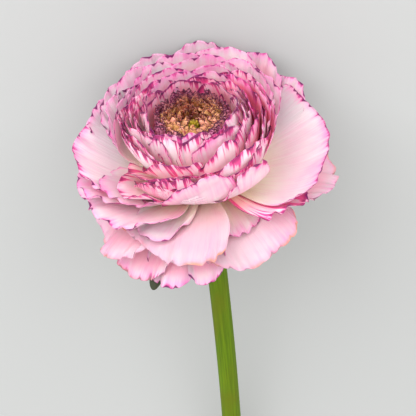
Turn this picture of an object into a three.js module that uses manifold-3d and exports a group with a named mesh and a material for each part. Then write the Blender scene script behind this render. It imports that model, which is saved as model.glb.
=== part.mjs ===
// A cut ranunculus flower that lies on a table: one stem with its receptacle, a calyx
// of five sepals, four whorls of broad outer petals, a cup of upright petals, a tight
// eye of small petals and the carpels at its centre. Millimetres, +Z up from the table,
// stem towards -Y. The bloom is modelled in a frame of its own, whose +Z is the bloom's
// axis and whose +Y side is the one that lies on the table.
import * as THREE from "three";
import { mergeVertices } from "three/addons/utils/BufferGeometryUtils.js";
import Module from "manifold-3d";

const wasm = await Module();
wasm.setup();

// Driving dimensions, in millimetres and degrees.
const STEM_RADIUS = 3.4;
const STEM_LENGTH = 205;
const STEM_SWING = 15; // how far the cut end lies to the right of the bloom
const ROOT_LIFT = 33.4; // from the table to the middle of the petals' roots
const BLOOM_RAISE = 10; // the bloom's axis points this far above the table
const BLOOM_LEAN = 6; // and this far to the left of straight ahead
const BLADE = 0.7; // thickness of a petal
const CLEARANCE = 0.35; // gap between separate pieces
const RECEPTACLE_TOP = 18;
const ROOT_RADIUS = 5.2; // the petals' roots start this far from the axis
const BOWL = { radius: 25.6, middle: 15, depth: 12 }; // parts cup petals from outer ones
const TOP_LEAN = 0.1; // how steeply the bloom's top leans over to the left
const LEAN_FOOT = 12; // above this height
const EYE_RADIUS = 12.6;
const EYE_RIM = 27.2; // the eye is a shallow bowl: the height of its rim
const EYE_FLOOR = 23.4; // and of the petals at its middle
const EYE_FOOT = 11; // below this height the cup's petals may pass under the eye
const SPIRAL_PETALS = 8; // of the cup, close round the eye
const EYE_PETALS = 38;
const EYE_PETAL_LENGTH = 5.5;
const CUT_ANGLE = 35; // how much the stem's cut slants
const GOLDEN_ANGLE = 137.508;
const ROUND_SEGMENTS = 20; // of the rings that the petals are rooted in

const radians = THREE.MathUtils.degToRad;
const lerp = THREE.MathUtils.lerp;

// A repeatable draw from -1 to 1.
function draw(seed, number) {
  const spread = 43758.5453 * Math.sin(12.9898 * seed + 78.233 * number);
  return 2 * (spread - Math.floor(spread)) - 1;
}

// Leans a point of the bloom's top over with it, or back upright where the way is -1.
function leaning(point, way = 1) {
  point.x -= way * TOP_LEAN * Math.max(point.z - LEAN_FOOT, 0);
  return point;
}

function leaningGeometry(geometry) {
  const positions = geometry.attributes.position;
  const point = new THREE.Vector3();
  for (let i = 0; i < positions.count; i++)
    leaning(point.fromBufferAttribute(positions, i)).toArray(positions.array, 3 * i);
  return geometry;
}

// ---- Solids ----

// A closed geometry as a solid, with shared corners merged and empty triangles left out.
function solidOf(geometry) {
  const bare = geometry.clone();
  bare.deleteAttribute("normal");
  bare.deleteAttribute("uv");
  const merged = mergeVertices(bare, 1e-4);
  const index = merged.index.array;
  const kept = [];
  for (let i = 0; i < index.length; i += 3) {
    const [a, b, c] = [index[i], index[i + 1], index[i + 2]];
    if (a !== b && b !== c && c !== a) kept.push(a, b, c);
  }
  return new wasm.Manifold(
    new wasm.Mesh({
      numProp: 3,
      vertProperties: merged.attributes.position.array,
      triVerts: new Uint32Array(kept),
    }),
  );
}

function geometryOf(solid) {
  const mesh = solid.getMesh();
  const geometry = new THREE.BufferGeometry();
  geometry.setAttribute("position", new THREE.BufferAttribute(mesh.vertProperties, 3));
  geometry.setIndex(new THREE.BufferAttribute(mesh.triVerts, 1));
  geometry.computeVertexNormals();
  return geometry;
}

// Joins solids into one body. Scraps that hang free of it are dropped.
function fuse(solids) {
  const bodies = wasm.Manifold.union(solids).decompose();
  return bodies.reduce((a, b) => (a.volume() > b.volume() ? a : b));
}

function turnedSolid(profile, segments = ROUND_SEGMENTS) {
  const points = profile.map(([radius, height]) => new THREE.Vector2(radius, height));
  const geometry = new THREE.LatheGeometry(points, segments);
  return solidOf(leaningGeometry(geometry.rotateX(Math.PI / 2)));
}

// A blade of even thickness over the surface point(q, s), where q runs from -1 to 1
// across it and s from 0 at its root to 1 at its rim. Both faces are split into
// triangles alike, so that a waved blade never crosses itself.
function bladeSolid(point, columns, rows, thickness) {
  const grid = [];
  for (let j = 0; j <= rows; j++)
    for (let i = 0; i <= columns; i++) grid.push(point(-1 + (2 * i) / columns, j / rows));
  const at = (i, j) => j * (columns + 1) + i;
  const count = grid.length;
  const positions = new Float32Array(count * 6);
  const along = new THREE.Vector3();
  const across = new THREE.Vector3();
  for (let j = 0; j <= rows; j++)
    for (let i = 0; i <= columns; i++) {
      across.subVectors(grid[at(Math.min(i + 1, columns), j)], grid[at(Math.max(i - 1, 0), j)]);
      along.subVectors(grid[at(i, Math.min(j + 1, rows))], grid[at(i, Math.max(j - 1, 0))]);
      const offset = across.clone().cross(along).setLength(thickness / 2);
      const middle = grid[at(i, j)];
      middle.clone().add(offset).toArray(positions, at(i, j) * 3);
      middle.clone().sub(offset).toArray(positions, (count + at(i, j)) * 3);
    }
  const index = [];
  const wall = (a, b) => index.push(a, count + a, count + b, a, count + b, b);
  for (let j = 0; j < rows; j++)
    for (let i = 0; i < columns; i++) {
      const [a, b, c, d] = [at(i, j), at(i + 1, j), at(i + 1, j + 1), at(i, j + 1)];
      index.push(a, b, c, a, c, d);
      index.push(count + a, count + c, count + b, count + a, count + d, count + c);
    }
  for (let i = 0; i < columns; i++) {
    wall(at(i, 0), at(i + 1, 0));
    wall(at(i + 1, rows), at(i, rows));
  }
  for (let j = 0; j < rows; j++) {
    wall(at(columns, j), at(columns, j + 1));
    wall(at(0, j + 1), at(0, j));
  }
  const geometry = new THREE.BufferGeometry();
  geometry.setAttribute("position", new THREE.BufferAttribute(positions, 3));
  geometry.setIndex(index);
  return solidOf(geometry);
}

// ---- Petals ----

// How wide a petal is at s, as a share of its half width: a narrow claw that broadens.
const CLAW = 0.24;
const widthShare = (s) => CLAW + (1 - CLAW) * Math.sin((Math.PI / 2) * s) ** 1.15;

// A petal's midrib in the plane of radius and height, from its root to its tip.
function midrib(petal) {
  const rise = radians(petal.rootAngle);
  const fall = radians(petal.tipAngle);
  const reach = Math.hypot(petal.radius - ROOT_RADIUS, petal.height - petal.rootHeight);
  const first = reach * petal.rootPull;
  const last = reach * petal.tipPull;
  return new THREE.CubicBezierCurve(
    new THREE.Vector2(ROOT_RADIUS, petal.rootHeight),
    new THREE.Vector2(
      ROOT_RADIUS + first * Math.cos(rise),
      petal.rootHeight + first * Math.sin(rise),
    ),
    new THREE.Vector2(
      petal.radius - last * Math.cos(fall),
      petal.height - last * Math.sin(fall),
    ),
    new THREE.Vector2(petal.radius, petal.height),
  );
}

// What a petal is where its row doesn't say otherwise.
const PLAIN = {
  rootPull: 0.42,
  tipPull: 0.34,
  round: 0.36, // how much shorter its sides are than its middle
  wrap: 0.6, // how closely it bends round the bloom's axis where it stands up
  spoon: 0.006, // how much it bends across its width anywhere
  roll: 6, // how it leans on its neighbour
  twist: 0,
  skew: 0, // how much longer its left side is, seen from the axis
  lobes: 0,
  ruffle: 1.3,
  waves: 1.8,
  flare: 0,
  phase: 0,
};

// Small differences that set a petal apart from the others of its kind.
function waviness(petal, seed) {
  return {
    roll: petal.roll + 4 * draw(seed, 1),
    twist: 5 * draw(seed, 2),
    skew: petal.skew + 0.05 * draw(seed, 3),
    lobes: 0.012 * (1 + draw(seed, 4)),
    ruffle: petal.ruffle * (1 + 0.4 * draw(seed, 5)),
    waves: petal.waves * (1 + 0.3 * draw(seed, 6)),
    flare: draw(seed, 7),
    phase: Math.PI * draw(seed, 8),
  };
}

// A petal from a row of a table: azimuth, tip radius, tip height, tip angle (0 outward,
// 90 along the axis), half width, and what else sets it apart.
function petalOf([azimuth, radius, height, tipAngle, halfWidth, more], shape, seed) {
  const petal = { ...PLAIN, ...shape, ...more, azimuth, radius, height, tipAngle, halfWidth };
  return { ...petal, ...waviness(petal, seed) };
}

// The surface of a petal. It bends across its width round the bloom's axis (wrap) and
// like a spoon, leans on its neighbour (roll), and ruffles towards its rim. keepClear
// then bends it clear of what it would cross.
function petalSurface(petal, keepClear) {
  const curve = midrib(petal);
  const roll = radians(petal.roll);
  const azimuth = radians(petal.azimuth);
  const wave = (q) =>
    0.7 * Math.sin(petal.waves * Math.PI * q + petal.phase) +
    0.3 * Math.sin(1.7 * petal.waves * Math.PI * q + 2 * petal.phase);
  const lobe = (q) => Math.sin(4.1 * q + petal.phase) + Math.sin(7.3 * q - 2 * petal.phase);
  return (q, s) => {
    const turn = (Math.PI / 2) * q;
    const rounded = s * (1 - petal.round + petal.round * Math.cos(turn));
    const skewed = rounded * (1 + petal.skew * Math.sin(turn) * s ** 2);
    const share = skewed * (1 + petal.lobes * lobe(q));
    const middle = curve.getPoint(share);
    const direction = curve.getTangent(Math.min(share, 1));
    const width = petal.halfWidth * widthShare(s) * Math.sin(turn);
    const hug = (petal.wrap * Math.max(direction.y, 0)) / Math.max(middle.x, 6);
    const bend = hug + petal.spoon + 1e-6;
    const aside = Math.sin(bend * width) / bend;
    const dish = (1 - Math.cos(bend * width)) / bend;
    const lift = dish + petal.ruffle * s ** 3 * wave(q) + petal.flare * s ** 4;
    const sideways = aside * Math.cos(roll) - lift * Math.sin(roll);
    const inward = aside * Math.sin(roll) + lift * Math.cos(roll);
    const radius = middle.x - direction.y * inward;
    const height = middle.y + direction.x * inward;
    const heading = azimuth + radians(petal.twist) * share;
    return keepClear(
      new THREE.Vector3(
        radius * Math.cos(heading) - sideways * Math.sin(heading),
        radius * Math.sin(heading) + sideways * Math.cos(heading),
        height,
      ),
    );
  };
}

// The table as seen from the bloom's own frame.
const tableNormal = new THREE.Vector3(
  0,
  -Math.cos(radians(BLOOM_RAISE)),
  Math.sin(radians(BLOOM_RAISE)),
);

// Bends a petal's middle surface along the table instead of through it.
function aboveTable(point) {
  const sunk = BLADE / 2 - ROOT_LIFT - tableNormal.dot(point);
  return sunk > 0 ? point.addScaledVector(tableNormal, sunk) : point;
}

// The bowl that parts the cup petals from the outer ones has an upright wall above its
// middle and a round floor. This is a point's place in it: 1 is on the bowl itself, or
// on the one that lies the offset outside it.
function placeInBowl(point, offset) {
  const out = Math.hypot(point.x, point.y) / (BOWL.radius + offset);
  const down = Math.max(BOWL.middle - point.z, 0) / (BOWL.depth + offset);
  return Math.hypot(out, down);
}

function scaleInBowl(point, scale) {
  point.x *= scale;
  point.y *= scale;
  if (point.z < BOWL.middle) point.z = BOWL.middle + (point.z - BOWL.middle) * scale;
  return point;
}

// Half of the room that two petals take on the two sides of a border.
const BORDER = (BLADE + CLEARANCE) / 2;

function outsideBowl(point) {
  const place = placeInBowl(leaning(point, -1), BORDER);
  return aboveTable(leaning(place < 1 ? scaleInBowl(point, 1 / place) : point));
}

function insideBowl(point) {
  const place = placeInBowl(point, -BORDER);
  if (place > 1) scaleInBowl(point, 1 / place);
  const radius = Math.hypot(point.x, point.y);
  const pushed = point.z > EYE_FOOT ? Math.max(radius, EYE_RADIUS + BORDER) / radius : 1;
  return leaning(point.multiply(new THREE.Vector3(pushed, pushed, 1)));
}

// Outer petals in four whorls, lowest first.
const WHORLS = [
  {
    // Guard petals. They droop on the open side, and two lie back along the table.
    shape: { rootHeight: 0.1, rootAngle: -4, wrap: 0.5, ruffle: 1.5, waves: 1.6 },
    rows: [
      [-110, 38, -13, -52, 9],
      [-127, 38, -13.5, -50, 12],
      [-154, 39, -8, -40, 16],
      [-67, 38, -7.5, -38, 16, { roll: 10 }],
      [-97, 37.5, -10.5, -48, 8],
      [6, 42, -6, -35, 15],
      [40, 38.5, -2, 0, 18],
      [76, 38, 9, 80, 17],
      [106, 38, 9, 80, 17],
      [142, 39, -1, 0, 19],
      [178, 40, -2, -8, 17],
    ],
  },
  {
    // Broad spreading petals, low in front and standing up behind.
    shape: { rootHeight: 0.9, rootAngle: 2, spoon: 0.008, ruffle: 1.6, waves: 1.9 },
    rows: [
      [-113, 38.5, 0.5, -18, 19, { skew: 0.12 }],
      [-66, 29, 0, -10, 12],
      [-143, 40, 5.5, 4, 16, { round: 0.46 }],
      [-164, 40.5, 9, 12, 12, { round: 0.46 }],
      [172, 40, 15, 36, 21, { spoon: 0.014, roll: -6 }],
      [152, 40, 16, 50, 12],
      [133, 40, 18, 56, 14],
      [113, 38, 24.5, 70, 13],
      [88, 37, 26, 76, 14],
      [62, 39, 23, 70, 13],
      [41, 40.5, 17, 56, 12],
      [-36, 38.5, 5.5, 20, 12, { roll: -12 }],
    ],
  },
  {
    // Petals that close in on the cup behind, and the broadest one at the right.
    shape: { rootHeight: 1.7, rootAngle: 3, wrap: 0.85, spoon: 0.004, roll: 5, waves: 2.2 },
    rows: [
      [100, 32, 27, 80, 15],
      [73, 33, 27, 78, 15],
      [128, 33, 26, 76, 14],
      [50, 31, 24, 82, 11],
      [150, 32, 23, 70, 12],
      [1, 40, 11, 38, 28, { wrap: 0.7, spoon: 0.012, ruffle: 0.8 }],
      [-120, 34, 2.5, 0, 9, { spoon: 0.05 }],
      [-150, 34, 12, 24, 12],
    ],
  },
  {
    // Frilled petals that stand against the cup all round.
    shape: {
      rootHeight: 2.2,
      rootAngle: 4,
      wrap: 0.9,
      spoon: 0.01,
      roll: 7,
      ruffle: 1.4,
      waves: 2,
    },
    rows: [
      [90, 28.5, 27.5, 86, 16],
      [120, 28.5, 27, 84, 15],
      [60, 28.5, 26, 84, 15],
      [148, 28, 25, 82, 13],
      [-142, 30.5, 14.5, 50, 11, { skew: 0.1 }],
      [-122, 27, 18, 62, 12, { skew: 0.15 }],
      [-100, 29.5, 19, 62, 17, { skew: 0.28, roll: 12, waves: 1.2 }],
      [-61, 26.8, 19.5, 78, 11, { skew: 0.12 }],
    ],
  },
];

// Every ring has the stem's receptacle as its axle.
const HOLE = STEM_RADIUS + CLEARANCE;

// A petal that is wider than this to each side takes one more column of triangles.
const BROAD = 15;

function outerPetals() {
  const ring = [[HOLE, -0.7], [9, -0.7], [10.5, 1], [9.5, 2.7], [HOLE, 2.7], [HOLE, -0.7]];
  const solids = [turnedSolid(ring)];
  let seed = 100;
  for (const { shape, rows } of WHORLS)
    for (const row of rows) {
      seed += 1;
      const petal = petalOf(row, shape, seed);
      const columns = petal.halfWidth > BROAD ? 5 : 4;
      solids.push(bladeSolid(petalSurface(petal, outsideBowl), columns, 3, BLADE));
    }
  return fuse(solids);
}

// The cup: a tight spiral of petals that curl in over the eye, and listed ones round it.
const CUP_SHAPE = {
  rootAngle: 2,
  rootHeight: 6,
  rootPull: 0.4,
  tipPull: 0.42,
  round: 0.24,
  wrap: 1,
  spoon: 0,
  ruffle: 0.9,
};
const CUP_WALL = [
  // At the right.
  [-5, 18, 27.6, 92, 11],
  [40, 19.8, 28.2, 90, 13],
  [-20, 20.6, 26, 90, 12],
  [5, 21.4, 27.2, 88, 14],
  [12, 24.2, 26.2, 84, 16],
  [-35, 24.6, 22, 84, 15],
  // Behind.
  [92, 22, 28.2, 88, 15],
  [125, 24.6, 27.4, 84, 14],
  // At the left.
  [160, 21, 27, 88, 13],
  [200, 21.6, 25.8, 86, 12],
  [178, 24, 25, 82, 14],
  // In front, from left to right.
  [-148, 22.2, 26.5, 86, 13, { skew: -0.12 }],
  [-112, 22.5, 23.5, 72, 12, { rootHeight: 6.2, skew: 0.2 }],
  [-132, 25.2, 18.5, 44, 15, { rootHeight: 5.4, skew: 0.25, roll: 16 }],
  [-76, 20.8, 25.5, 88, 10, { rootHeight: 6.6, skew: 0.2 }],
  [-55, 24.2, 24.6, 88, 13, { rootHeight: 5.6, skew: 0.1 }],
  // Close round the spiral.
  [75, 18, 28.6, 92, 12],
  [150, 17.6, 28, 92, 11],
];

// The spiral's innermost and outermost petals.
const INNERMOST = { radius: 13.7, height: 28.6, tipAngle: 106, rootHeight: 7.6 };
const OUTERMOST = { radius: 17.7, height: 28.2, tipAngle: 96, rootHeight: 6.4 };

function spiralRows() {
  const rows = [];
  for (let i = 0; i < SPIRAL_PETALS; i++) {
    const outward = (i + 0.5) / SPIRAL_PETALS;
    const between = (key) => lerp(INNERMOST[key], OUTERMOST[key], outward);
    const azimuth = (GOLDEN_ANGLE * i) % 360;
    const radius = between("radius");
    const height = between("height") + 0.6 * draw(i, 9);
    const tipAngle = between("tipAngle") + 6 * draw(i, 10);
    const halfWidth = 0.66 * radius * (1 + 0.13 * draw(i, 11));
    rows.push([azimuth, radius, height, tipAngle, halfWidth, { rootHeight: between("rootHeight") }]);
  }
  return rows;
}

function cupPetals() {
  const ring = [[HOLE, 4.3], [8, 4.6], [10.5, 7], [8.5, 9], [HOLE, 9], [HOLE, 4.3]];
  const solids = [turnedSolid(ring)];
  [...spiralRows(), ...CUP_WALL].forEach((row, number) => {
    const petal = petalOf(row, CUP_SHAPE, 301 + number);
    solids.push(bladeSolid(petalSurface(petal, insideBowl), 4, 3, BLADE));
  });
  return fuse(solids);
}

// The eye: small upright petals that line a shallow bowl, packed by the golden angle.
function eyePetals() {
  const bed = [
    [HOLE, 9.4],
    [6.5, 9.4],
    [9.5, 14],
    [11.2, 19],
    [11.2, 22],
    [8.5, 20.4],
    [HOLE, 19],
    [HOLE, 9.4],
  ];
  const solids = [turnedSolid(bed)];
  for (let i = 0; i < EYE_PETALS; i++) {
    const outward = Math.sqrt((i + 0.5) / EYE_PETALS);
    const place = lerp(4.9, EYE_RADIUS - BLADE, outward);
    const azimuth = radians(GOLDEN_ANGLE * i);
    const top = lerp(EYE_FLOOR, EYE_RIM, outward ** 1.2) + 0.4 * draw(i, 13);
    const halfWidth = lerp(1.5, 2.5, outward);
    const lean = lerp(2.4, 1, outward);
    const surface = (q, s) => {
      const aside = halfWidth * Math.sin((Math.PI / 2) * q) * (1 - 0.35 * s * s);
      const radius = place - lean * s * s;
      const fall = 1 - s * (0.86 + 0.14 * Math.cos((Math.PI / 2) * q));
      return leaning(
        new THREE.Vector3(
          radius * Math.cos(azimuth) - aside * Math.sin(azimuth),
          radius * Math.sin(azimuth) + aside * Math.cos(azimuth),
          top - EYE_PETAL_LENGTH * fall,
        ),
      );
    };
    solids.push(bladeSolid(surface, 2, 1, BLADE));
  }
  return fuse(solids);
}

// The carpels: a small cone covered with short beaks.
function carpels() {
  const foot = RECEPTACLE_TOP + CLEARANCE;
  const solids = [
    turnedSolid([[0, foot], [2.2, foot], [2.5, foot + 1.6], [1.5, foot + 3.6], [0, foot + 4.4]], 10),
  ];
  const beaks = 13;
  for (let i = 0; i < beaks; i++) {
    const climb = (i + 0.5) / beaks;
    const beak = new THREE.ConeGeometry(0.65, 1.8, 5);
    beak.rotateZ(-Math.PI / 2 + radians(70) * climb);
    beak.translate(lerp(2.2, 0.7, climb), 0, foot + lerp(0.9, 4, climb));
    solids.push(solidOf(leaningGeometry(beak.rotateZ(radians(GOLDEN_ANGLE * i)))));
  }
  return fuse(solids);
}

// ---- Green parts ----

// Five narrow sepals under the guard petals, each a row like a petal's. The first reaches
// out between two of them.
const SEPALS = [
  [-117, 36, -14.5, -42, 3.9],
  [-45, 24, -14, -42, 3.9],
  [27, 24, -12, -42, 3.9],
  [99, 22, -9, -42, 3.9],
  [171, 24, -12, -42, 3.9],
];
const SEPAL_SHAPE = {
  rootHeight: -2.6,
  rootAngle: -16,
  rootPull: 0.4,
  tipPull: 0.35,
  round: 0.5,
  wrap: 0,
  spoon: 0.05,
  roll: 0,
  ruffle: 0.5,
};

function calyx() {
  const ring = [[HOLE, -4.4], [5, -4.2], [7.2, -2.4], [7, -1.1], [HOLE, -1.1], [HOLE, -4.4]];
  const solids = [turnedSolid(ring)];
  SEPALS.forEach((row, number) => {
    const petal = petalOf(row, SEPAL_SHAPE, 701 + number);
    solids.push(bladeSolid(petalSurface(petal, aboveTable), 3, 5, BLADE));
  });
  return fuse(solids);
}

// The bloom's frame in the part: its axis leans left and rises from the table.
const bloom = new THREE.Group();
bloom.rotation.set(radians(BLOOM_RAISE - 90), 0, radians(BLOOM_LEAN), "ZYX");
bloom.position.set(0, 0, ROOT_LIFT);
bloom.updateMatrix();

// The stem runs down from the bloom to the table and ends in a slanting cut. Its top,
// the receptacle, is the post that the rings of petals sit round.
function stem() {
  const down = new THREE.Vector3(0, 0, -1).transformDirection(bloom.matrix);
  const start = new THREE.Vector3(0, 0, -2).applyMatrix4(bloom.matrix);
  const end = new THREE.Vector3(
    start.x + STEM_SWING,
    start.y - STEM_LENGTH,
    STEM_RADIUS + 0.02,
  );
  const path = new THREE.CubicBezierCurve3(
    start,
    start.clone().addScaledVector(down, 0.5 * STEM_LENGTH),
    end.clone().add(new THREE.Vector3(-0.025 * STEM_LENGTH, 0.3 * STEM_LENGTH, 0)),
    end,
  );
  const section = new THREE.Shape();
  section.absarc(0, 0, STEM_RADIUS, 0, 2 * Math.PI);
  const tube = solidOf(
    new THREE.ExtrudeGeometry(section, { steps: 18, extrudePath: path, curveSegments: 6 }),
  );
  const knife = 8 * STEM_RADIUS;
  const cutter = new THREE.BoxGeometry(knife, knife, knife).translate(0, -knife / 2, 0);
  cutter.rotateX(radians(-CUT_ANGLE)).translate(end.x, end.y + 3, end.z);
  const post = turnedSolid([
    [0, -3],
    [STEM_RADIUS, -3],
    [STEM_RADIUS, 6],
    [STEM_RADIUS - 0.5, RECEPTACLE_TOP],
    [0, RECEPTACLE_TOP],
  ]).transform(bloom.matrix.elements);
  return fuse([tube.subtract(solidOf(cutter)), post]);
}

// ---- The flower ----

const finish = (color, roughness) =>
  new THREE.MeshStandardMaterial({ color, roughness, metalness: 0, flatShading: true });

function addPiece(parent, name, solid, material) {
  const mesh = new THREE.Mesh(geometryOf(solid), material);
  mesh.name = name;
  parent.add(mesh);
}

addPiece(bloom, "outer_petals", outerPetals(), finish("#f1ccda", 0.6));
addPiece(bloom, "cup_petals", cupPetals(), finish("#e78fb2", 0.6));
addPiece(bloom, "eye_petals", eyePetals(), finish("#8c5a45", 0.7));
addPiece(bloom, "carpels", carpels(), finish("#8f8a2c", 0.6));
addPiece(bloom, "calyx", calyx(), finish("#5f7440", 0.6));

const flower = new THREE.Group();
flower.add(bloom);
addPiece(flower, "stem", stem(), finish("#6e8a26", 0.5));

// The part's origin: on the table, under the middle of the whole flower.
const box = new THREE.Box3().setFromObject(flower, true);
flower.position.set(-(box.min.x + box.max.x) / 2, -(box.min.y + box.max.y) / 2, -box.min.z);

export default flower;
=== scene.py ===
# A cut ranunculus that lies on a pale floor: every petal is a thin waved blade of its
# own, shaped by the rule that shapes the petals of the solids. Lengths are in millimetres
# until a mesh is made. The bloom has a frame of its own: +Z is its axis, and +Y is the
# side that lies on the floor.
import math

import bpy
import numpy as np
from mathutils import Matrix, Vector


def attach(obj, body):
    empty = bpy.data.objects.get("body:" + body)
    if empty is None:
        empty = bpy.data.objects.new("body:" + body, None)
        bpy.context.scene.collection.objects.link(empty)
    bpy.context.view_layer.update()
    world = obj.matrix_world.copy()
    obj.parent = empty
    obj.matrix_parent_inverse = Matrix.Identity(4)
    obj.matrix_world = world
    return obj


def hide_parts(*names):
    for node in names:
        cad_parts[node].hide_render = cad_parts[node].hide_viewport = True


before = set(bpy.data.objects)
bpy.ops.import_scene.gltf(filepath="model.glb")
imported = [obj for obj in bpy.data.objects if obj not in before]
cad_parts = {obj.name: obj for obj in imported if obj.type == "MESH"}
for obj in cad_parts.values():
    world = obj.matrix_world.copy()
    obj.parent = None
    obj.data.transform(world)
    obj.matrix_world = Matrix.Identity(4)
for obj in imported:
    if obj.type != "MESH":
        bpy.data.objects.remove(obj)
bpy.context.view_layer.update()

MM = 0.001

# Driving dimensions, as in the solids, in millimetres and degrees.
ROOTS = (-0.22, 86.71, 33.39)  # the middle of the petals' roots, in the part's frame
BLOOM_RAISE = 10  # the bloom's axis points this far above the floor
BLOOM_LEAN = 6  # and this far to the left of straight ahead
ROOT_RADIUS = 5.2  # the petals' roots start this far from the axis
STEM_RADIUS = 3.4
STEM_LENGTH = 205
STEM_SWING = 15  # how far the cut end lies to the right of the bloom
BOWL_RADIUS, BOWL_MIDDLE, BOWL_DEPTH = 25.6, 15, 12  # parts cup petals from outer ones
TOP_LEAN, LEAN_FOOT = 0.1, 12  # the bloom's top leans by this slope above this height
EYE_FOOT = 11  # below this height the cup's petals may pass under the eye
EYE_RADIUS = 12.6
EYE_RIM = 27.2  # height of the eye's petals at its rim
EYE_FLOOR = 23.4  # and at its middle
GOLDEN_ANGLE = 137.508

# Only the visible pieces have these.
BLADE = 0.34  # thickness of a petal at its root
THINNING = 0.6  # how much thinner a petal is at its rim, as a share
EYE_BLADE = 0.3
EYE_PETALS = 320
CARPELS = 34

TO_WORLD = (
    Matrix.Translation(Vector(ROOTS))
    @ Matrix.Rotation(math.radians(BLOOM_LEAN), 4, "Z")
    @ Matrix.Rotation(math.radians(BLOOM_RAISE - 90), 4, "X")
)
TABLE_NORMAL = np.array(TO_WORLD.to_3x3().inverted() @ Vector((0, 0, 1)))


def srgb(red, green, blue):
    """A colour given from 0 to 255 as the linear colour that shaders use."""
    scaled = np.array([red, green, blue]) / 255
    return tuple(np.where(scaled < 0.04045, scaled / 12.92, ((scaled + 0.055) / 1.055) ** 2.4)) + (1,)


# ---- Materials ----


class Shader:
    """A material on one Principled shader, with short calls for the nodes that drive it."""

    def __init__(self, name, **fixed):
        self.material = bpy.data.materials.new(name)
        self.material.use_nodes = True
        self.tree = self.material.node_tree
        self.surface = self.tree.nodes["Principled BSDF"]
        for socket, value in fixed.items():
            self.surface.inputs[socket.replace("_", " ")].default_value = value

    def node(self, kind, *values, **settings):
        made = self.tree.nodes.new("ShaderNode" + kind)
        for key, value in settings.items():
            setattr(made, key, value)
        for socket, value in enumerate(values):
            self.set(made.inputs[socket], value)
        return made

    def set(self, socket, value):
        if isinstance(value, bpy.types.NodeSocket):
            self.tree.links.new(value, socket)
        else:
            socket.default_value = value

    def trait(self, name):
        return self.node("Attribute", attribute_name=name).outputs["Fac"]

    def math(self, operation, *values):
        return self.node("Math", *values, operation=operation).outputs[0]

    def vector(self, x, y, z):
        return self.node("CombineXYZ", x, y, z).outputs[0]

    def noise(self, vector, scale, detail=2.0, roughness=0.5):
        made = self.node("TexNoise", vector)
        made.inputs["Scale"].default_value = scale
        made.inputs["Detail"].default_value = detail
        made.inputs["Roughness"].default_value = roughness
        return made.outputs["Fac"]

    def grain(self, across_scale, along_scale, shift, detail=2.0, roughness=0.5):
        """Noise over a piece's own width and length. The shift sets pieces apart."""
        place = self.vector(
            self.math("MULTIPLY", self.trait("across"), across_scale),
            self.math("MULTIPLY", self.trait("along"), along_scale),
            shift,
        )
        return self.noise(place, 1.0, detail, roughness)

    def step(self, value, low, high):
        """A smooth rise from 0 at low to 1 at high, or a fall where high is the smaller."""
        made = self.node("MapRange", value, low, high, 0.0, 1.0, interpolation_type="SMOOTHSTEP")
        return made.outputs[0]

    def mix(self, share, first, second):
        made = self.node("Mix", data_type="RGBA")
        self.set(made.inputs[0], share)
        self.set(made.inputs[6], first)
        self.set(made.inputs[7], second)
        return made.outputs[2]

    def colour(self, value):
        self.set(self.surface.inputs["Base Color"], value)

    def bump(self, height, distance, strength=1.0):
        made = self.node("Bump")
        made.inputs["Strength"].default_value = strength
        made.inputs["Distance"].default_value = distance * MM
        self.set(made.inputs["Height"], height)
        self.set(self.surface.inputs["Normal"], made.outputs[0])


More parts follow.
